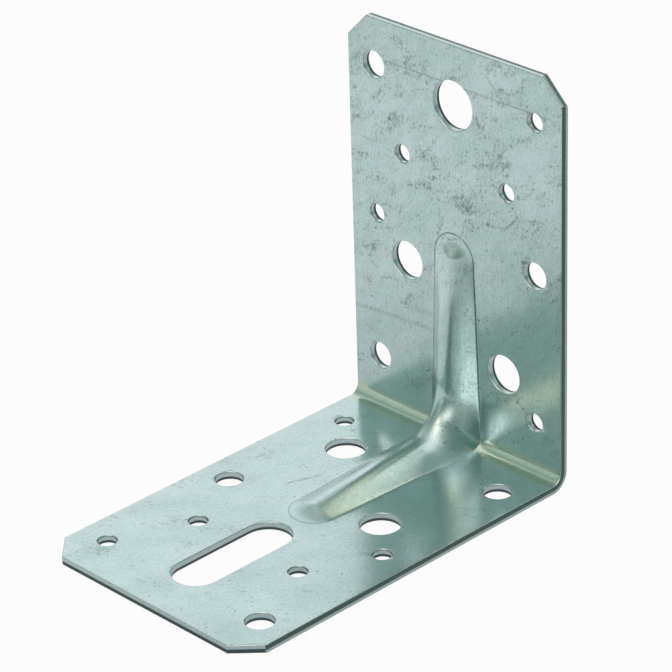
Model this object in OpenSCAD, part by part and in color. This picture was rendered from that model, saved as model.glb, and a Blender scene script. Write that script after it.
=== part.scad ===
// Ribbed angle bracket: one piece of galvanised sheet, punched, folded square and
// stiffened by a rib that is pressed across the fold from its outer side.
// The fold runs along X, the base leg points to -Y and the upright leg to +Z.

/* [Sheet] */
// Width of both legs along the fold
width = 65; // [62:0.5:80]
// Height of the upright leg over the outside of the fold
upright_leg = 100; // [98:1:120]
// Length of the base leg over the outside of the fold
base_leg = 100; // [98:1:120]
// Thickness of the sheet
sheet = 2; // [1.5:0.1:2.5]
// Radius on the inside of the fold
fold_radius = 2.5; // [2:0.25:4]
// Length taken off both sides of each free corner
corner_cut = 6; // [2:0.5:7]

/* [Nail and screw holes] */
// Diameter of the nail holes
nail_hole = 4.5; // [4:0.1:5.5]
// Diameter of the screw holes
screw_hole = 6.6; // [6:0.1:8]
// Distance of the outer hole rows from the long edges
row_edge = 8; // [7:0.5:9.5]
// Distance of the first pair of the outer rows from the heel
first_pair = 14.5; // [13.5:0.25:15.5]
// Distance of the last pair of the outer rows from the leg's free end
pair_end = 11.5; // [10:0.25:14]
// Distance of the inner nail holes from the middle of the leg
inner_side = 16; // [14:0.5:18]
// Distance of the inner nail holes from the leg's free end
inner_end = 31; // [28:0.5:33]

/* [Bolt holes] */
// Diameter of the two bolt holes in each leg
bolt_hole = 9.4; // [9:0.1:11]
// Distance of the bolt holes from the middle of the leg
bolt_side = 15; // [14.5:0.25:16]
// Distance of the nearer bolt hole from the heel
bolt_first = 23.5; // [22.5:0.25:25]
// Distance between the two bolt holes along the leg
bolt_pitch = 19; // [16:0.5:20]
// Diameter of the anchor hole in the upright leg
anchor_hole = 11.8; // [10:0.2:14]
// Distance of the anchor hole's middle from the leg's free end
anchor_end = 14.5; // [12:0.5:20]
// Width of the slot in the base leg
slot_width = 11.5; // [9:0.5:14]
// Length of the slot in the base leg
slot_length = 32.5; // [20:0.5:33.5]
// Distance of the slot's middle from the leg's free end
slot_end = 26.5; // [24:0.5:26.5]

/* [Rib] */
// Reach of the rib along both legs from the heel
rib_reach = 54; // [50:0.5:55]
// Length of the round end of the rib
rib_tip = 6; // [5:0.5:9]
// Width of the rib at the fold
rib_width = 15.2; // [14:0.2:17.6]
// Width of the rib where its round ends begin
rib_end_width = 11.8; // [10.6:0.2:13.8]
// Height of the crest where the round ends begin
rib_end_height = 1.9; // [1.4:0.1:2.6]
// Height the straight crest would have at the inside corner
rib_heel_height = 5; // [3.6:0.1:5.6]
// Radius of the crest's sweep across the fold
rib_sweep = 11.5; // [8:0.5:14]
// Radius of the rounded crest, across the rib
rib_crest = 6; // [4:0.25:6.5]

/* [Hidden] */
$fn = 96;
fold_outer = fold_radius + sheet;
row_side = width / 2 - row_edge;

// The crest: a straight run above each leg and a sweep whose middle lies on the
// bisector of the fold.
tip_start = rib_reach - rib_tip;
crest_rise = (rib_heel_height - rib_end_height) / (tip_start - sheet);
crest_angle = atan(crest_rise);
sweep_centre = (rib_sweep / cos(crest_angle) + rib_heel_height) / (1 + crest_rise);
sweep_start = sheet + sweep_centre - rib_sweep * sin(crest_angle);
foot_run = sweep_start - fold_outer;
foot_length = foot_run + fold_radius * PI / 4;

// Stations along the rib and columns across it.
tip_steps = 8;
run_steps = 3;
sweep_steps = 9;
side_steps = 8;
columns = 2 * side_steps + 1;
spread = 1.06;

function half_width(along) =
    rib_end_width / 2 + (rib_width - rib_end_width) / 2 * (tip_start - along) / (tip_start - fold_outer);
function crest_height(along) = rib_heel_height - crest_rise * (along - sheet);

// A station holds the foot on the inside of the sheet, the direction to the crest,
// the height of the crest, the half width and how far into the round end it lies.
function tip_station(share) =
    [[sheet, tip_start + share * rib_tip], [1, 0], crest_height(tip_start), half_width(tip_start), share];
function run_station(along) =
    [[sheet, along], [1, 0], crest_height(along), half_width(along), 0];
function foot_point(way) =
    way <= foot_run
    ? [sheet, sweep_start - way]
    : let (turn = (way - foot_run) / fold_radius * 180 / PI)
      [fold_outer - fold_radius * cos(turn), fold_outer - fold_radius * sin(turn)];
function sweep_station(share) =
    let (turn = crest_angle + share * (45 - crest_angle),
         middle = sheet + sweep_centre,
         crest = [middle - rib_sweep * cos(turn), middle - rib_sweep * sin(turn)],
         foot = foot_point(share * foot_length),
         rise = crest - foot)
    [foot, rise / norm(rise), norm(rise), half_width(foot[1]), 0];
function mirrored(s) = [[s[0][1], s[0][0]], [s[1][1], s[1][0]], s[2], s[3], s[4]];

upright_stations = concat(
    [for (i = [0:tip_steps]) tip_station(spread * (1 - i / tip_steps))],
    [for (i = [1:run_steps]) run_station(tip_start + (sweep_start - tip_start) * i / run_steps)],
    [for (i = [1:sweep_steps]) sweep_station(i / sweep_steps)]);
half_count = len(upright_stations);
stations = concat(
    upright_stations,
    [for (i = [half_count - 2:-1:0]) mirrored(upright_stations[i])]);

// Height across the rib: flat flanks that run up to a crest of constant radius.
function from_crest(s, q) = s[3] * norm([q, s[4]]);
function flank_angle(s) =
    atan2(s[2] - rib_crest, s[3]) + asin(rib_crest / norm([s[3], s[2] - rib_crest]));
function on_flank(s, q) = from_crest(s, q) > rib_crest * sin(flank_angle(s));
function skin_height(s, q) =
    on_flank(s, q)
    ? (s[3] - from_crest(s, q)) * tan(flank_angle(s))
    : s[2] - rib_crest + sqrt(rib_crest ^ 2 - from_crest(s, q) ^ 2);
function skin_slope(s, q) =
    on_flank(s, q)
    ? tan(flank_angle(s))
    : from_crest(s, q) / sqrt(rib_crest ^ 2 - from_crest(s, q) ^ 2);
function crest_side(s, q) = max(skin_height(s, q), -sheet / 2);
function hollow_side(s, q) = skin_height(s, q) - sheet * norm([1, skin_slope(s, q)]);

// Turns a place on a station into a point of the part.
function placed(s, q, height) =
    let (in_plane = s[0] + height * s[1])
    [q * s[3], base_leg / 2 - in_plane[0], in_plane[1]];
function column(j) = spread * (j - side_steps) / side_steps;

module ring_solid(rings) {
    count = len(rings);
    size = len(rings[0]);
    sides = [for (i = [0:count - 2]) for (k = [0:size - 1]) for (half = [0, 1])
        let (a = i * size + k, b = i * size + (k + 1) % size)
        half == 0 ? [a, b, b + size] : [a, b + size, a + size]];
    first = [for (j = [0:columns - 2]) for (half = [0, 1])
        let (a = j, b = j + 1, c = size - 2 - j, d = size - 1 - j)
        half == 0 ? [c, b, a] : [d, c, a]];
    last = [for (j = [0:columns - 2]) for (half = [0, 1])
        let (start = (count - 1) * size, a = start + j, b = a + 1, d = start + size - 1 - j, c = d - 1)
        half == 0 ? [a, b, c] : [a, c, d]];
    polyhedron(points = [for (ring = rings) for (p = ring) p], faces = concat(sides, first, last), convexity = 6);
}

module rib_skin() {
    ring_solid([for (s = stations) concat(
        [for (j = [0:columns - 1]) placed(s, column(j), crest_side(s, column(j)))],
        [for (j = [columns - 1:-1:0]) placed(s, column(j), -0.75 * sheet)])]);
}

module rib_hollow() {
    ring_solid([for (s = stations) concat(
        [for (j = [0:columns - 1]) placed(s, column(j), hollow_side(s, column(j)))],
        [for (j = [columns - 1:-1:0]) placed(s, column(j), -4 * sheet - rib_heel_height)])]);
}

module folded_sheet() {
    translate([-width / 2, base_leg / 2 - sheet, fold_outer])
        cube([width, sheet, upright_leg - fold_outer]);
    translate([-width / 2, -base_leg / 2, 0])
        cube([width, base_leg - fold_outer, sheet]);
    translate([-width / 2, base_leg / 2 - fold_outer, fold_outer])
        rotate([0, 90, 0])
            rotate_extrude(angle = 90)
                translate([fold_radius, 0])
                    square([sheet, width]);
}

// The flat legs are laid out with the heel along X and the leg's own length along Y.
module on_upright() {
    translate([0, base_leg / 2 - sheet / 2, 0])
        rotate([90, 0, 0])
            children();
}

module on_base() {
    translate([0, base_leg / 2, sheet / 2])
        rotate([0, 0, 180])
            children();
}

module corner_cuts(leg) {
    for (side = [-1, 1])
        translate([side * width / 2, leg, 0])
            rotate([0, 0, 45])
                cube([corner_cut * sqrt(2), corner_cut * sqrt(2), 2 * sheet], center = true);
}

module round_hole(diameter, side, row) {
    translate([side, row, 0])
        cylinder(d = diameter, h = 2 * sheet, center = true);
}

// Both legs have the same punched pattern; nail and screw holes take turns.
module leg_holes(leg) {
    last_pair = leg - pair_end;
    for (i = [0:2]) {
        hand = i == 1 ? 1 : -1;
        row = first_pair + i * (last_pair - first_pair) / 2;
        round_hole(screw_hole, hand * row_side, row);
        round_hole(nail_hole, -hand * row_side, row);
    }
    for (side = [-1, 1])
        round_hole(nail_hole, side * inner_side, leg - inner_end);
    round_hole(bolt_hole, bolt_side, bolt_first);
    round_hole(bolt_hole, -bolt_side, bolt_first + bolt_pitch);
}

module slot() {
    linear_extrude(height = 2 * sheet, center = true)
        translate([0, base_leg - slot_end]) {
            square([slot_width, slot_length - slot_width], center = true);
            for (end = [-1, 1])
                translate([0, end * (slot_length - slot_width) / 2])
                    circle(d = slot_width);
        }
}

module bracket() {
    color([0.70, 0.75, 0.75])
        difference() {
            union() {
                folded_sheet();
                rib_skin();
            }
            rib_hollow();
            on_upright() {
                corner_cuts(upright_leg);
                leg_holes(upright_leg);
                round_hole(anchor_hole, 0, upright_leg - anchor_end);
            }
            on_base() {
                corner_cuts(base_leg);
                leg_holes(base_leg);
                slot();
            }
        }
}

bracket();
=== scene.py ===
import math
import bpy
from mathutils import Matrix, Vector


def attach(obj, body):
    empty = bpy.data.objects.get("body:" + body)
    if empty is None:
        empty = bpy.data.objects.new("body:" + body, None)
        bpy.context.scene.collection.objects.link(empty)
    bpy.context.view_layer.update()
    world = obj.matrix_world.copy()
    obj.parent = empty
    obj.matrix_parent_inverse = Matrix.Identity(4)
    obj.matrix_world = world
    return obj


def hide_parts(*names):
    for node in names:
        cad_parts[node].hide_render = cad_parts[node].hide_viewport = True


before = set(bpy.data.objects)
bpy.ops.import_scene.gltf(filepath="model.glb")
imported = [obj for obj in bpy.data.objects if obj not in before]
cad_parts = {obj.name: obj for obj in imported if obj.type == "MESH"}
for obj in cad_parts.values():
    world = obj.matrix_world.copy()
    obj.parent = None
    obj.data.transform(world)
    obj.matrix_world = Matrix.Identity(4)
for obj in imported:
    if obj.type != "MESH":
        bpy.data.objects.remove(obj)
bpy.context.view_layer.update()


# small helpers for node trees
class Wire:
    def __init__(self, tree, socket=None):
        self.tree, self.socket = tree, socket

    def node(self, kind, settings=None, sockets=None, out=0):
        made = self.tree.nodes.new(kind)
        for key, value in (settings or {}).items():
            setattr(made, key, value)
        for key, value in (sockets or {}).items():
            target = made.inputs[key]
            if isinstance(value, Wire):
                self.tree.links.new(value.socket, target)
            else:
                target.default_value = value
        return Wire(self.tree, made.outputs[out]) if len(made.outputs) else made

    def other(self, name):  # another output of the same node
        return Wire(self.tree, self.socket.node.outputs[name])

    def calc(self, operation, *values, clamp=False):
        return self.node("ShaderNodeMath", {"operation": operation, "use_clamp": clamp},
                         dict(enumerate((self, *values))))

    def flipped(self, operation, value):
        return self.node("ShaderNodeMath", {"operation": operation}, {0: value, 1: self})

    def __add__(self, value): return self.calc("ADD", value)
    def __radd__(self, value): return self.calc("ADD", value)
    def __sub__(self, value): return self.calc("SUBTRACT", value)
    def __rsub__(self, value): return self.flipped("SUBTRACT", value)
    def __mul__(self, value): return self.calc("MULTIPLY", value)
    def __rmul__(self, value): return self.calc("MULTIPLY", value)
    def __truediv__(self, value): return self.calc("DIVIDE", value)
    def __rtruediv__(self, value): return self.flipped("DIVIDE", value)
    def __pow__(self, value): return self.calc("POWER", value)
    def __abs__(self): return self.calc("ABSOLUTE")
    def __lt__(self, value): return self.calc("LESS_THAN", value)
    def __gt__(self, value): return self.calc("GREATER_THAN", value)

    def sin(self): return self.calc("SINE")
    def cos(self): return self.calc("COSINE")
    def root(self): return self.calc("SQRT")
    def atLeast(self, value): return self.calc("MAXIMUM", value)
    def atMost(self, value): return self.calc("MINIMUM", value)
    def clipped(self): return self.calc("ADD", 0.0, clamp=True)

    def ramp(self, low, high):  # 0 at low, 1 at high, smooth between them
        return self.node("ShaderNodeMapRange", {"interpolation_type": "SMOOTHSTEP"},
                         {0: self, 1: low, 2: high})


def vector(x, y, z):
    tree = next(v.tree for v in (x, y, z) if isinstance(v, Wire))
    return Wire(tree).node("ShaderNodeCombineXYZ", {}, {0: x, 1: y, 2: z})


def pick(switch, low, high):  # low where the switch is 0, high where it is 1
    return low + (high - low) * switch


def blend(share, low, high, kind="MIX"):  # the same for colours
    low, high = ((*c, 1) if isinstance(c, tuple) else c for c in (low, high))
    return share.node("ShaderNodeMix", {"data_type": "RGBA", "blend_type": kind},
                      {"Factor": share, 6: low, 7: high}, 2)


# the punched blank, laid flat, in millimetres: x along the fold, y along the sheet, z its thickness
metre = 0.001
bracketSizes = {
    "width": 65.0, "cornerCut": 6.0, "leg": 100.0, "sheet": 2.0, "foldRadius": 2.5,
    "ribReach": 54.0, "ribTip": 6.0, "ribWidth": 15.2, "ribEndWidth": 11.8,
    "ribEndHeight": 1.9, "ribHeelHeight": 5.0, "ribSweep": 11.5, "ribCrest": 6.0,
    "ribGuard": 1.35,  # how far out the pressing lifts the sheet, in half widths of the rib
    "tipEase": 1.0,  # how gently the round ends leave the sheet
    "tipLevel": 5.0,  # length over which the crest levels out at its round ends
    "tipSink": 0.5,  # how much lower the crest runs into its round ends
    "sinkStart": 10.0, "sinkEnd": -3.0,  # distances before the round ends between which it sinks
    "crease": 0.25,  # softness of the bend where the rib leaves the flat sheet
}
blankOnly = ("width", "cornerCut")  # sizes that the folding doesn't need
edgeProfile = [  # inset from the sheared outline and depth below the inner face
    (0.32, 0.00), (0.16, -0.02), (0.06, -0.065), (0.01, -0.13), (0.0, -0.22),
    (0.0, -0.70), (0.0, -1.25), (0.03, -1.37), (0.05, -1.6), (0.08, -1.9), (0.13, -2.0),
]


def developed(s):  # lengths along the inside of the sheet, counted from the middle of the fold
    tipStart = s["ribReach"] - s["ribTip"]
    rise = (s["ribHeelHeight"] - s["ribEndHeight"]) / (tipStart - s["sheet"])
    slant = math.atan(rise)
    centre = (s["ribSweep"] / math.cos(slant) + s["ribHeelHeight"]) / (1 + rise)
    sweepStart = s["sheet"] + centre - s["ribSweep"] * math.sin(slant)
    halfBend = s["foldRadius"] * math.pi / 4
    footLength = sweepStart - s["sheet"] - s["foldRadius"] + halfBend
    shift = footLength - sweepStart  # add to a distance from the heel
    return {"halfBend": halfBend, "footLength": footLength, "shift": shift,
            "tip": tipStart + shift, "end": s["leg"] + shift}


lengths = developed(bracketSizes)


def spaced(low, high, count):
    return [low + (high - low) * i / count for i in range(1, count + 1)]


def blankMesh(s, d):
    gridReach = 1.6  # half widths of the rib that the finer grid round it covers
    cornerGap = 0.6  # from the last even row to the cut corners
    mitre = 2 - math.sqrt(2)  # how much shorter a corner's cut gets for each millimetre of inset
    runRows = [0.0, *spaced(0, d["halfBend"], 9), *spaced(d["halfBend"], d["footLength"], 24),
               *spaced(d["footLength"], d["tip"], 20)]
    tipRows = [0.06, 0.14, 0.24, 0.36, 0.48, 0.60, 0.71, 0.80, 0.87, 0.92, 0.955, 0.98, 1.0,
               1.02, 1.045, 1.09, 1.16, 1.28, 1.44, gridReach]
    innerColumns = [0.0, *spaced(0, 0.84, 14), 0.89, 0.93, 0.96, 0.982, 1.0,
                    1.018, 1.04, 1.08, 1.15, 1.26, 1.42, gridReach]
    outerColumns = [0.12, 0.28, 0.46, 0.64, 0.82, 0.94, 1.0]
    columns = [(u, 0.0) for u in innerColumns] + [(gridReach, f) for f in outerColumns]
    columns = [(-u, f) for u, f in reversed(columns[1:])] + columns

    def halfWidth(v):
        along = min(v, d["tip"])
        taper = (d["tip"] - along) / (d["tip"] - d["halfBend"])
        return s["ribEndWidth"] / 2 + (s["ribWidth"] - s["ribEndWidth"]) / 2 * taper

    def outline(inset):  # the leg's free end and the cut of its corners, drawn in
        return d["end"] - inset, s["cornerCut"] - mitre * inset

    def spot(u, f, v, e, inset):
        side, u = math.copysign(1, u), abs(u)
        w = halfWidth(v)
        if f > 0:  # between the finer grid and the long edge
            end, cut = outline(inset)
            edge = s["width"] / 2 - inset - max(0.0, cut - (end - v))
            return side * (gridReach * w + (edge - gridReach * w) * f), v
        if e <= 0:
            return side * u * w, v
        m = max(u, e)
        a, b = (u, e) if m <= 1 else (u / m, e / m)
        x, y = a * math.sqrt(1 - b * b / 2), b * math.sqrt(1 - a * a / 2)
        if m > 1:  # rings round the tip, easing back to straight rows
            t = min(1.0, (m - 1) / (gridReach - 1))
            t = t * t * (3 - 2 * t)
            x, y = m * x + (u - m * x) * t, m * y + (e - m * y) * t
        return side * x * w, d["tip"] + y * s["ribTip"]

    def rows(inset):  # distance from the fold, and how far into the round tip a row lies
        end, cut = outline(inset)
        half = [(v, 0.0) for v in runRows] + [(d["tip"] + e * s["ribTip"], e) for e in tipRows]
        half += [(v, 0.0) for v in spaced(half[-1][0], end - cut - cornerGap, 8)]
        half += [(end - cut + cut * share, 0.0) for share in (0.0, 0.35, 0.7, 1.0)]
        return [(-v, e) for v, e in reversed(half[1:])] + half

    def layer(inset, depth):
        grid = []
        for v, e in rows(inset):
            line = [spot(u, f, abs(v), e, inset) for u, f in columns]
            grid.append([(x, math.copysign(y, v), depth) for x, y in line])
        return grid

    points, faces = [], []

    def addGrid(grid, flip):
        start, wide = len(points), len(grid[0])
        for line in grid:
            points.extend(line)
        for r in range(len(grid) - 1):
            for c in range(wide - 1):
                a = start + r * wide + c
                quad = (a, a + 1, a + wide + 1, a + wide)
                faces.append(quad[::-1] if flip else quad)
        return start, wide, len(grid)

    def rim(start, wide, tall):  # boundary of a grid, anticlockwise from above
        last = start + (tall - 1) * wide
        near = [start + c for c in range(wide)]
        right = [start + r * wide + wide - 1 for r in range(1, tall)]
        far = [last + c for c in range(wide - 2, -1, -1)]
        left = [start + r * wide for r in range(tall - 2, 0, -1)]
        return near + right + far + left

    top = rim(*addGrid(layer(*edgeProfile[0]), False))
    bottom = rim(*addGrid(layer(*edgeProfile[-1]), True))
    rings = [top]
    for inset, depth in edgeProfile[1:-1]:
        grid = layer(inset, depth)
        flat = [p for line in grid for p in line]
        ring = [flat[i] for i in rim(0, len(grid[0]), len(grid))]
        rings.append(list(range(len(points), len(points) + len(ring))))
        points.extend(ring)
    rings.append(bottom)
    for upper, lower in zip(rings, rings[1:]):
        for i in range(len(upper)):
            j = (i + 1) % len(upper)
            faces.append((upper[j], upper[i], lower[i], lower[j]))
    mesh = bpy.data.meshes.new("flatBlank")
    mesh.from_pydata(points, [], faces)
    mesh.validate()
    return mesh


# the punch: one ring profile, sent to every hole
punchSizes = {
    "sides": 72,
    "nail": 4.5, "screw": 6.6, "bolt": 9.4, "anchor": 11.8, "slotWidth": 11.5, "slotLength": 32.5,
    "rowSide": 24.5, "firstPair": 14.5, "pairPitch": 37.0, "innerSide": 16.0, "innerRow": 69.0,
    "boltSide": 15.0, "boltFirst": 23.5, "boltPitch": 19.0, "anchorRow": 85.5, "slotRow": 73.5,
}
punchProfile = [  # depth and how far the wall lies outside the nominal radius
    (0.40, 0.70), (0.0, 0.17), (-0.03, 0.115), (-0.08, 0.06), (-0.15, 0.02), (-0.24, 0.0),
    (-0.80, 0.0), (-1.36, 0.0), (-1.46, 0.03), (-1.70, 0.05), (-1.92, 0.07), (-2.0, 0.10), (-2.5, 0.35),
]


def storeValues(mesh, name, values):
    mesh.attributes.new(name, "FLOAT", "POINT").data.foreach_set("value", values)


def punchMesh(sides):
    points, faces, ways, flares = [], [], [], []
    for depth, flare in punchProfile:
        for k in range(sides):
            turn = 2 * math.pi * k / sides
            points.append((math.cos(turn), math.sin(turn), depth))
            ways += [math.cos(turn), math.sin(turn), 0.0]
            flares.append(flare)
    for r in range(len(punchProfile) - 1):
        for k in range(sides):
            a, b = r * sides + k, r * sides + (k + 1) % sides
            faces.append((b, a, a + sides, b + sides))
    last = (len(punchProfile) - 1) * sides
    faces.append(tuple(range(sides)))
    faces.append(tuple(reversed(range(last, last + sides))))
    mesh = bpy.data.meshes.new("punch")
    mesh.from_pydata(points, [], faces)
    mesh.attributes.new("ringWay", "FLOAT_VECTOR", "POINT").data.foreach_set("vector", ways)
    storeValues(mesh, "flare", flares)
    return mesh


def holeMesh(p, shift):
    places, radii, halves = [], [], []

    def hole(x, row, diameter, leg, slotHalf=0.0):  # leg is 1 for the upright, -1 for the base
        places.append((leg * x, leg * (row + shift), 0.0))
        radii.append(diameter / 2)
        halves.append(slotHalf)

    for leg in (1, -1):
        for i in range(3):
            hand = 1 if i == 1 else -1
            row = p["firstPair"] + i * p["pairPitch"]
            hole(hand * p["rowSide"], row, p["screw"], leg)
            hole(-hand * p["rowSide"], row, p["nail"], leg)
        for side in (-1, 1):
            hole(side * p["innerSide"], p["innerRow"], p["nail"], leg)
        hole(p["boltSide"], p["boltFirst"], p["bolt"], leg)
        hole(-p["boltSide"], p["boltFirst"] + p["boltPitch"], p["bolt"], leg)
    hole(0.0, p["anchorRow"], p["anchor"], 1)
    hole(0.0, p["slotRow"], p["slotWidth"], -1, (p["slotLength"] - p["slotWidth"]) / 2)
    mesh = bpy.data.meshes.new("holePlaces")
    mesh.from_pydata(places, [], [])
    storeValues(mesh, "holeRadius", radii)
    storeValues(mesh, "slotHalf", halves)
    return mesh


def helperObject(name, mesh):
    made = bpy.data.objects.new(name, mesh)
    bpy.context.scene.collection.objects.link(made)
    return made


# Geometry Nodes: punch the blank, press the rib, fold it
def foldingTree(punch, holes, finish):
    wallFacing = 0.72  # faces that look up or down less than this are sheared walls
    smoothBelow = math.radians(34)
    tree = bpy.data.node_groups.new("punchPressFold", "GeometryNodeTree")
    tree.interface.new_socket("Blank", in_out="INPUT", socket_type="NodeSocketGeometry")
    for name in bracketSizes:
        if name not in blankOnly:
            tree.interface.new_socket(name, in_out="INPUT", socket_type="NodeSocketFloat")
    tree.interface.new_socket("Bracket", in_out="OUTPUT", socket_type="NodeSocketGeometry")
    start = Wire(tree).node("NodeGroupInput", {}, {}, "Blank")
    get = start.other

    def named(name, kind="FLOAT"):
        return start.node("GeometryNodeInputNamedAttribute", {"data_type": kind}, {"Name": name}, "Attribute")

    def keep(mesh, name, value, kind="FLOAT", domain="POINT"):
        return start.node("GeometryNodeStoreNamedAttribute", {"data_type": kind, "domain": domain},
                          {"Geometry": mesh, "Name": name, "Value": value})

    # every hole is one instance of the punch, opened to its own radius
    cutter = start.node("GeometryNodeObjectInfo", {}, {"Object": punch}, "Geometry")
    spots = start.node("GeometryNodeObjectInfo", {}, {"Object": holes}, "Geometry")
    punches = start.node("GeometryNodeInstanceOnPoints", {}, {"Points": spots, "Instance": cutter})
    punches = start.node("GeometryNodeRealizeInstances", {}, {0: punches})
    ringX = start.node("ShaderNodeSeparateXYZ", {}, {0: named("ringWay", "FLOAT_VECTOR")}, "X")
    ringY = ringX.other("Y")
    grow = named("holeRadius") + named("flare") - 1.0
    stretch = named("slotHalf") * ringY.calc("SIGN")
    punches = start.node("GeometryNodeSetPosition", {}, {
        "Geometry": punches, "Offset": vector(ringX * grow, ringY * grow + stretch, 0.0)})
    sheet = start.node("GeometryNodeMeshBoolean", {"operation": "DIFFERENCE", "solver": "EXACT"},
                       {"Mesh 1": start, "Mesh 2": punches}, "Mesh")

    # remember the flat place, and which faces are sheared walls
    flat = start.node("GeometryNodeInputPosition")
    sheet = keep(sheet, "blankSpot", flat, "FLOAT_VECTOR")
    facing = start.node("ShaderNodeSeparateXYZ", {}, {0: start.node("GeometryNodeInputNormal")}, "Z")
    sheet = keep(sheet, "cutWall", abs(facing) < wallFacing, domain="FACE")

    # the fold: A runs from the upright leg's outer face, B from the base leg's underside
    x = start.node("ShaderNodeSeparateXYZ", {}, {0: flat}, "X")
    v, depth = x.other("Y"), x.other("Z")
    t, r = get("sheet"), get("foldRadius")
    halfBend = r * (math.pi / 4)
    outer = r + t
    turn = (math.pi / 4 - v / r).atLeast(0.0).atMost(math.pi / 2)
    normalA, normalB = turn.cos(), turn.sin()
    footA = outer - r * normalA + (0.0 - v - halfBend).atLeast(0.0)
    footB = outer - r * normalB + (v - halfBend).atLeast(0.0)

    # the crest of the rib, over the leg and through its sweep
    tipStart = get("ribReach") - get("ribTip")
    rise = (get("ribHeelHeight") - get("ribEndHeight")) / (tipStart - t)
    slant = rise.calc("ARCTANGENT")
    centre = (get("ribSweep") / slant.cos() + get("ribHeelHeight")) / (1.0 + rise)
    sweepStart = t + centre - get("ribSweep") * slant.sin()
    footLength = sweepStart - outer + halfBend
    way = abs(v)
    before = tipStart - (way - footLength + sweepStart)
    level = get("tipLevel")
    along = tipStart - 0.5 * (before + (before * before + level * level).root())
    share = (1.0 - way / footLength).atLeast(0.0)
    arc = slant + share * (math.pi / 4 - slant)
    arcTurn = pick(v < 0.0, arc, math.pi / 2 - arc)
    riseA = t + centre - get("ribSweep") * arcTurn.cos() - footA
    riseB = t + centre - get("ribSweep") * arcTurn.sin() - footB
    riseLength = (riseA * riseA + riseB * riseB).root()
    inSweep = way < footLength
    sunk = get("tipSink") * before.ramp(get("sinkStart"), get("sinkEnd"))
    crest = pick(inSweep, get("ribHeelHeight") - rise * (along - t) - sunk, riseLength)
    wayA = pick(inSweep, normalA, riseA / riseLength)
    wayB = pick(inSweep, normalB, riseB / riseLength)

    # how far from the crest a point lies, as a length and in half widths of the rib
    footWay = pick(inSweep, along, outer + way - halfBend)
    taper = ((tipStart - footWay) / (tipStart - outer)).atMost(1.0)
    halfWidth = get("ribEndWidth") * 0.5 + (get("ribWidth") - get("ribEndWidth")) * 0.5 * taper
    tip = (way - footLength + sweepStart - tipStart).atLeast(0.0) / get("ribTip")
    q = x / halfWidth
    away = (q * q + tip * tip).root()
    fromCrest = away * halfWidth
    sheet = keep(sheet, "ribEdge", fromCrest - halfWidth)

    # the rib's section: a round crest that runs out into the flanks without a break, eased at the tips
    bow = get("ribCrest")
    drop = crest - bow
    reach = (halfWidth * halfWidth + drop * drop).root()
    lean = drop.calc("ARCTAN2", halfWidth) + (bow / reach).calc("ARCSINE")
    soft = bow * lean.calc("TANGENT")
    fall = crest / ((halfWidth * halfWidth + soft * soft).root() - soft)
    bowed = (fromCrest * fromCrest + soft * soft).root()
    height = crest - fall * (bowed - soft)
    ahead = tip / away.atLeast(0.001)
    eased = ((height / crest).atLeast(0.0) ** (1.0 + get("tipEase") * ahead * ahead)) * crest
    skin = pick(height > 0.0, height, eased)
    steep = fall * fromCrest / bowed
    hollow = skin - t * ((1.0 + steep * steep).root() - 1.0)

    def raised(above):  # never below the flat sheet, with a small bend radius at the crease
        crease = get("crease")
        return 0.5 * (above + (above * above + crease * crease).root()) * (away < get("ribGuard"))

    lift = pick((0.0 - depth / t).atLeast(0.0).atMost(1.0), raised(skin), raised(hollow))
    runA = footA + depth * normalA + lift * wayA
    runB = footB + depth * normalB + lift * wayB
    placed = vector(x * metre, get("leg") * (0.5 * metre) - runA * metre, runB * metre)
    bent = start.node("GeometryNodeSetPosition", {}, {"Geometry": sheet, "Position": placed})
    bent = start.node("GeometryNodeRealizeInstances", {}, {0: bent})
    bent = start.node("GeometryNodeSetShadeSmooth", {"domain": "FACE"},
                      {"Geometry": bent, "Shade Smooth": True})
    angle = start.node("GeometryNodeInputMeshEdgeAngle", {}, {}, "Unsigned Angle")
    bent = start.node("GeometryNodeSetShadeSmooth", {"domain": "EDGE"},
                      {"Geometry": bent, "Shade Smooth": angle < smoothBelow})
    bent = start.node("GeometryNodeSetMaterial", {}, {"Geometry": bent, "Material": finish})
    start.node("NodeGroupOutput", {}, {"Bracket": bent})
    return tree


def makeBracket(finish):
    blank = helperObject("bracketBlank", blankMesh(bracketSizes, lengths))
    punch = helperObject("punchTool", punchMesh(punchSizes["sides"]))
    holes = helperObject("holePlaces", holeMesh(punchSizes, lengths["shift"]))
    tree = foldingTree(punch, holes, finish)
    work = blank.modifiers.new("punchPressFold", "NODES")
    work.node_group = tree
    for item in tree.interface.items_tree:
        if item.in_out == "INPUT" and item.name in bracketSizes:
            work[item.identifier] = bracketSizes[item.name]
    even = blank.modifiers.new("evenNormals", "WEIGHTED_NORMAL")  # flat faces stay flat beside the rims
    even.keep_sharp = True
    graph = bpy.context.evaluated_depsgraph_get()
    mesh = bpy.data.meshes.new_from_object(blank.evaluated_get(graph),
                                           preserve_all_data_layers=True, depsgraph=graph)
    for helper in (blank, punch, holes):
        bpy.data.objects.remove(helper, do_unlink=True)
    mesh.name = "galvanisedBracket"
    piece = helperObject("galvanisedBracket", mesh)
    print("bracket made", len(mesh.vertices), "points", len(mesh.polygons), "faces")
    return piece


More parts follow.
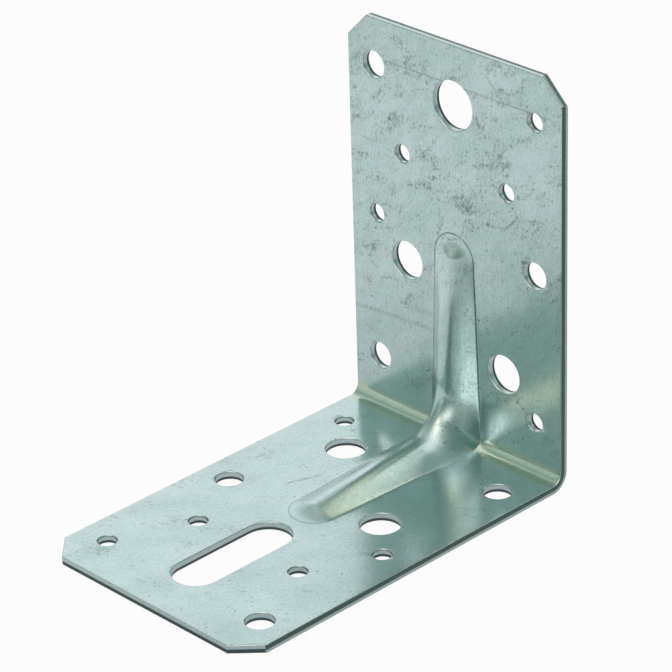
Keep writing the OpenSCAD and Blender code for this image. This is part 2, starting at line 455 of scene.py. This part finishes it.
# galvanised finish, laid out on the flat blank in millimetres
finishSizes = {
    "zinc": (0.59, 0.70, 0.71), "dull": (0.425, 0.54, 0.535), "smudge": (0.20, 0.25, 0.225),
    # Among these: the fold's tint is a painted reflection of warm light; the crease colour is the painted
    # shade in the rib's crease and also the walls' lip line; pale also paints the highlight beside the
    # crease; the fracture colours are the broken band painted darker for shade and lighter for light; the
    # slit colours paint shade above and light below on the slit sides
    "speck": (0.075, 0.11, 0.105), "foldWarmReflection": (0.57, 0.63, 0.53), "pale": (0.80, 0.88, 0.84),
    "crease": (0.10, 0.145, 0.14), "burnish": (0.66, 0.71, 0.745), "shadedFracture": (0.115, 0.14, 0.15),
    "litEndFracture": (0.30, 0.345, 0.35), "slitShaded": (0.11, 0.155, 0.15), "slitLit": (0.60, 0.67, 0.68),
    "roughness": 0.20, "wallRoughness": 0.30, "fractureRoughness": 0.6, "heelFrost": 0.10,
    "rollLine": 90.5,  # row on the upright leg
    "pressLine": (27.9, 0.07),  # row on the upright leg and slope
    "foldLines": [(-1.70, 0.15, 0.7), (-0.50, 0.10, 0.3), (0.85, 0.10, 0.25)],  # place, half width, strength
    "breakBand": (-1.30, -1.44), "slitBand": (-1.08, -1.26),  # depths where a sheared wall changes
    "lipDepth": 1.36, "endBreak": 0.30,  # the free ends break higher up than the holes
    "noises": {  # length along and across a direction, the direction, seed, detail, roughness, distortion
        "cloud": (19.0, 11.0, 62.0, 1, 2.0, 0.55, 0.0),
        "grain": (0.85, 0.50, 84.0, 2, 3.0, 0.75, 0.0),
        "hair": (14.0, 0.5, 90.0, 3, 2.0, 0.6, 0.0),
        "wave": (4.2, 2.6, 48.0, 4, 3.0, 0.6, 0.0),
        "grit": (1.5, 0.75, 70.0, 5, 4.0, 0.75, 0.0),
        "thick": (8.5, 4.0, 27.0, 6, 4.0, 0.66, 0.9),
        "broken": (6.0, 0.5, 0.0, 10, 3.0, 0.6, 0.0),
        "score": (0.3, 0.3, 0.0, 12, 2.0, 0.6, 0.0),
    },
    "soil": [  # where smudges gather: across, along the upright or (below zero) the base, reach, strength
        (9.5, 76.0, 7.0, 0.10), (15.5, 76.0, 4.0, 0.10), (-8.5, 69.5, 6.0, 0.10), (-20.5, 75.0, 6.0, 0.08),
        (3.8, 60.0, 6.0, 0.12), (12.0, 61.2, 6.5, 0.11), (-26.0, 59.5, 5.0, 0.08),
        (-26.0, -39.0, 5.0, 0.09), (-19.5, -75.0, 7.0, 0.09), (-10.2, -79.0, 4.0, 0.11),
        (-22.0, -91.5, 7.0, 0.08), (9.0, -82.0, 4.0, 0.08),
    ],
    "streaks": [  # from, to, half width, strength
        (10.3, 95.3, 15.3, 90.6, 0.60, 0.55), (21.2, 97.7, 20.4, 91.6, 0.50, 0.45),
        (-13.2, -43.8, -10.3, -36.2, 0.55, 0.80), (9.8, 33.5, 10.2, 32.0, 0.45, 0.75),
    ],
}


def galvanisedFinish(s, d):
    look = bpy.data.materials.new("galvanisedSheet")
    look.use_nodes = True
    tree = look.node_tree
    tree.nodes.clear()
    start = Wire(tree)

    def kept(name, out):
        settings = {"attribute_type": "GEOMETRY", "attribute_name": name}
        return start.node("ShaderNodeAttribute", settings, {}, out)

    def onBlank(along):  # from a distance to the heel to a place on the flat blank
        return math.copysign(abs(along) + d["shift"], along)

    spot, edge, wall = kept("blankSpot", "Vector"), kept("ribEdge", "Fac"), kept("cutWall", "Fac")
    x = start.node("ShaderNodeSeparateXYZ", {}, {0: spot}, "X")
    v, depth = x.other("Y"), x.other("Z")

    def noise(name):
        long, wide, turn, seed, detail, rough, distortion = s["noises"][name]
        place = start.node("ShaderNodeMapping", {"vector_type": "TEXTURE"}, {
            "Vector": spot, "Location": (seed * 37.1, seed * 11.3, 0.0),
            "Rotation": (0.0, 0.0, math.radians(turn)), "Scale": (long, wide, 0.9)})
        return start.node("ShaderNodeTexNoise", {}, {
            "Vector": place, "Scale": 1.0, "Detail": detail, "Roughness": rough, "Distortion": distortion})

    inner = depth > -1.0
    upright = v.ramp(-4.0, 6.0)
    upper = v.ramp(26.0, 56.0)

    # broad clouds, fine grain and drawn hairlines of the zinc
    cloud, grain, hair, wave = (noise(name) for name in ("cloud", "grain", "hair", "wave"))
    dull = 0.42 + (cloud - 0.5) * 1.1 + (grain - 0.5) * (2.1 + 0.5 * upper)
    dull = dull + (hair - 0.5) * (0.3 + 0.5 * upright) + (wave - 0.5) * (0.5 + 0.6 * upright)
    colour = blend(dull.clipped(), s["zinc"], s["dull"])

    # gritty smudges, thickest where the soil gathers; the upright leg is the dirtier one
    thick = noise("thick") - 0.055 + 0.01 * upright + 0.045 * upper
    for across, along, reach, strength in s["soil"]:
        near = start.node("ShaderNodeVectorMath", {"operation": "DISTANCE"},
                          {0: spot, 1: (across, onBlank(along), 0.0)}, "Value")
        thick = thick + near.ramp(reach, 0.0) * strength
    grit = noise("grit")
    smudge = (thick + (grit - 0.5) * 0.95 + (grain - 0.5) * 0.35).ramp(0.51, 0.86) * (0.65 + 0.35 * upright)

    # streaks that can be told apart
    for fromX, fromS, toX, toS, half, strength in s["streaks"]:
        fromV, toV = onBlank(fromS), onBlank(toS)
        runX, runV = toX - fromX, toV - fromV
        way = (((x - fromX) * runX + (v - fromV) * runV) / (runX * runX + runV * runV)).clipped()
        offX, offV = x - fromX - way * runX, v - fromV - way * runV
        off = (offX * offX + offV * offV).root() + (grit - 0.5) * 1.6 + (wave - 0.5) * 0.8
        streak = off.ramp(half, 0.0) * (0.3 + 0.7 * grain.ramp(0.40, 0.58)) * strength
        smudge = smudge.atLeast(streak * inner)

    # a line left by the rolls and a soft one left by the press
    rolled = abs(v - onBlank(s["rollLine"]) + (wave - 0.5) * 0.4).ramp(0.24, 0.06)
    rolled = rolled * x.ramp(-23.0, -19.0) * x.ramp(31.5, 27.0) * grit.ramp(0.25, 0.5)
    row, slope = s["pressLine"]
    pressed = abs(v - onBlank(row) - x * slope - (wave - 0.5) * 0.9).ramp(0.9, 0.2)
    pressed = pressed * x.ramp(-5.0, -9.0) * grit.ramp(0.32, 0.62)
    smudge = smudge.atLeast((rolled * 0.7).atLeast(pressed * 0.42) * inner)
    colour = blend(smudge * 0.82, colour, s["smudge"])

    # small dark specks, in swarms
    place = start.node("ShaderNodeMapping", {"vector_type": "TEXTURE"},
                       {"Vector": spot, "Scale": (1.5, 1.2, 0.9)})
    cell = start.node("ShaderNodeTexVoronoi", {}, {"Vector": place, "Scale": 1.0}, "Distance")
    chance = start.node("ShaderNodeSeparateColor", {}, {0: cell.other("Color")}, "Red")
    speck = (cell + (grit - 0.5) * 0.5).ramp(0.24, 0.10) * (chance > 0.80) * (thick + 0.08).ramp(0.42, 0.64)
    colour = blend(speck * 0.7, colour, s["speck"])

    # a warm tint painted over the fold, a painted reflection of warm light, with fine pale lines along it
    bend = abs(v).ramp(d["halfBend"] + 1.3, d["halfBend"] - 0.3) * (edge > 0.0)
    colour = blend(bend * 0.72, colour, s["foldWarmReflection"])
    broken = noise("broken").ramp(0.40, 0.60)
    for row, half, strength in s["foldLines"]:
        line = abs(v - row).ramp(half, half * 0.35) * strength * bend
        colour = blend(line * broken, colour, s["pale"])

    # the crease round the rib: a fine dark line of painted shade in the crease, and a painted highlight
    # beside it on the right where the crease rounds
    crease = abs(edge - 0.05).ramp(0.30, 0.08) * grit.ramp(0.26, 0.50) * (0.5 + 0.5 * upright) * inner
    creaseHighlight = abs(edge - 0.45).ramp(0.26, 0.08) * x.ramp(1.0, 5.0)
    creaseHighlight = creaseHighlight * v.ramp(42.0, 24.0) * v.ramp(-30.0, -8.0) * inner
    colour = blend(crease * 0.75, colour, s["crease"])
    colour = blend(creaseHighlight * 0.9, colour, s["pale"])

    # sheared walls: burnished next to the inner face, broken below; the walls' tones also carry painted shade
    # and painted light
    half = bracketSizes["width"] / 2
    corner = half + d["end"] - bracketSizes["cornerCut"]
    slit = abs(x) > half - 0.3
    cut = (abs(v) > d["end"] - 0.35).atLeast(abs(x) + abs(v) > corner - 0.5)
    score = noise("score")
    ragged = depth + (score - 0.5) * 0.2
    down = ragged - s["endBreak"] * cut
    broke = down.ramp(*s["breakBand"])
    lip = abs(down + s["lipDepth"]).ramp(0.20, 0.05)
    shear = blend(score.ramp(0.35, 0.7) * 0.45, s["burnish"], s["dull"])
    # the broken band is darker than the zinc, painted darker still in the holes and on the base's ends as
    # shade, and lighter on the upright's free ends as painted light
    shear = blend(broke, shear, blend(cut * upright, s["shadedFracture"], s["litEndFracture"]))
    shear = blend(lip * 0.85, shear, s["crease"])
    # the slit sides: painted dark above as shade and pale below as light
    slitting = blend(ragged.ramp(*s["slitBand"]), s["slitShaded"], s["slitLit"])
    colour = blend(wall, colour, blend(slit, shear, slitting))

    heel = abs(v).ramp(11.0, 4.0) * edge.ramp(0.0, -2.0)  # the zinc is frosted where it is stretched most
    gloss = s["roughness"] + (grain - 0.5) * 0.12 + smudge * 0.16 + (cloud - 0.5) * 0.08
    gloss = gloss + heel * s["heelFrost"]
    gloss = pick(wall, gloss, pick(broke, s["wallRoughness"], s["fractureRoughness"])).clipped()
    height = (grain - 0.5) * 0.7 + (wave - 0.5) * 0.8 - speck * 0.5 - crease * 0.8
    height = height + wall * broke * (score - 0.5) * 3.0
    bump = start.node("ShaderNodeBump", {}, {
        "Strength": 0.25, "Distance": 0.05 * metre, "Height": height}, "Normal")
    shader = start.node("ShaderNodeBsdfPrincipled", {}, {
        "Base Color": colour, "Metallic": 1.0, "Roughness": gloss, "Normal": bump})
    start.node("ShaderNodeOutputMaterial", {}, {"Surface": shader})
    print("finish made", len(tree.nodes), "nodes")
    return look


# stage, light and camera
cameraSizes = {"turn": 46.11, "height": 27.43, "roll": -1.82, "focal": 3394.0, "right": -29.54, "up": 24.28,
               "distance": 790.6, "frame": 672.0, "sensor": 36.0, "clip": (0.01, 20.0)}


def placeCamera(c):
    a, e, roll = (math.radians(c[k]) for k in ("turn", "height", "roll"))
    ahead = Vector((-math.sin(a) * math.cos(e), math.cos(a) * math.cos(e), -math.sin(e)))
    right = Vector((math.cos(a), math.sin(a), 0.0))
    up = right.cross(ahead)
    right, up = (right * math.cos(roll) + up * math.sin(roll), up * math.cos(roll) - right * math.sin(roll))
    heel = Vector((0.0, bracketSizes["leg"] / 2, 0.0))
    eye = right * c["right"] + up * c["up"] - ahead * c["distance"] + heel
    data = bpy.data.cameras.new("photoCamera")
    data.sensor_width = c["sensor"]
    data.lens = c["focal"] * c["sensor"] / c["frame"]
    data.clip_start, data.clip_end = c["clip"]
    camera = bpy.data.objects.new("photoCamera", data)
    frameAxes = Matrix((right, up, -ahead)).transposed().to_4x4()
    camera.matrix_world = Matrix.Translation(eye * metre) @ frameAxes
    bpy.context.scene.collection.objects.link(camera)
    bpy.context.scene.camera = camera
    print("camera placed")


studioSizes = {
    "ambient": (0.18, 0.32, 0.27), "white": (1.0, 1.0, 1.0), "paper": (0.82, 0.82, 0.82, 1.0),
    "shadow": 0.06,  # how much of the shadow on the floor is seen
    # what the metal sees of the floor, on the left, on the right and far away, and where these meet; the
    # darker right side is a painted shadow near the bracket
    "floorLeft": (0.845, 0.90, 0.875), "floorShadowRight": (0.52, 0.58, 0.56), "floorFar": (0.58, 0.63, 0.60),
    "floorSide": (-0.11, 0.02), "floorFade": (0.18, 0.50), "floorHalf": 3.0,
    "glows": [  # turn from the fold's right end, height above the floor, softness in degrees, colour
        (144, 24, 26, (0.95, 0.84, 0.89)),
        (190, 58, 24, (0.26, 0.24, 0.24)),
        (100, 84, 22, (0.40, 0.28, 0.31)),
        (310, 66, 18, (2.10, 1.75, 1.70)),
        (24, 60, 14, (1.20, 1.10, 1.10)),
        (64, 24, 14, (0.70, 0.62, 0.62)),
        (222, 27, 11, (0.42, 0.42, 0.40)),
        (230, 6, 14, (0.55, 0.48, 0.45)),
        (265, 51, 12, (2.55, 1.82, 1.28)),
        (284, 27, 10, (1.20, 1.00, 0.95)),
        (303, 22, 11, (2.70, 2.35, 2.25)),
    ],
}


def paleWorld(s):
    world = bpy.data.worlds.new("paleStudio")
    bpy.context.scene.world = world
    world.use_nodes = True
    tree = world.node_tree
    tree.nodes.clear()
    start = Wire(tree)
    way = start.node("ShaderNodeTexCoord", {}, {}, "Generated")
    light = s["ambient"]
    for turn, height, soft, colour in s["glows"]:  # soft boxes all round, as smooth spots in the world
        turn, height = math.radians(turn), math.radians(height)
        aim = (math.cos(turn) * math.cos(height), math.sin(turn) * math.cos(height), math.sin(height))
        near = start.node("ShaderNodeVectorMath", {"operation": "DOT_PRODUCT"}, {0: way, 1: aim}, "Value")
        glow = ((near - 1.0) / (1 - math.cos(math.radians(soft)))).calc("EXPONENT")
        light = blend(glow, light, colour, "ADD")
    path = start.node("ShaderNodeLightPath", {}, {}, "Is Camera Ray")
    seen = path.atLeast(path.other("Is Transmission Ray"))
    sky = start.node("ShaderNodeBackground", {}, {"Color": blend(seen, light, s["white"])})
    start.node("ShaderNodeOutputWorld", {}, {"Surface": sky})


def paleFloor(s):
    far = s["floorHalf"]
    mesh = bpy.data.meshes.new("paleFloor")
    mesh.from_pydata([(-far, -far, 0), (far, -far, 0), (far, far, 0), (-far, far, 0)], [], [(0, 1, 2, 3)])
    floor = helperObject("paleFloor", mesh)
    paper = bpy.data.materials.new("whitePaper")
    paper.use_nodes = True
    tree = paper.node_tree
    tree.nodes.clear()
    start = Wire(tree)
    path = start.node("ShaderNodeLightPath", {}, {}, "Is Camera Ray")
    seen = path.atLeast(path.other("Is Transmission Ray"))
    bare = seen * (1 - s["shadow"]) + path.other("Is Glossy Ray") * (1.0 - seen)
    paint = start.node("ShaderNodeBsdfDiffuse", {}, {"Color": s["paper"]})
    place = start.node("ShaderNodeTexCoord", {}, {}, "Object")
    side = start.node("ShaderNodeSeparateXYZ", {}, {0: place}, "X")
    away = start.node("ShaderNodeVectorMath", {"operation": "LENGTH"}, {0: place}, "Value")
    # the floor as the metal sees it, darker on the right with a painted shadow
    tone = blend(side.ramp(*s["floorSide"]), s["floorLeft"], s["floorShadowRight"])
    tone = blend(away.ramp(*s["floorFade"]), tone, s["floorFar"])
    bright = start.node("ShaderNodeEmission", {}, {"Color": blend(seen, tone, s["white"])})
    both = start.node("ShaderNodeMixShader", {}, {0: bare, 1: paint, 2: bright})
    start.node("ShaderNodeOutputMaterial", {}, {"Surface": both})
    mesh.materials.append(paper)
    return floor


bracket = makeBracket(galvanisedFinish(finishSizes, lengths))
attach(bracket, "root")
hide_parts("bracket")
paleWorld(studioSizes)
floor = paleFloor(studioSizes)
print("studio set")
placeCamera(cameraSizes)
bpy.context.scene.view_settings.view_transform = "Standard"
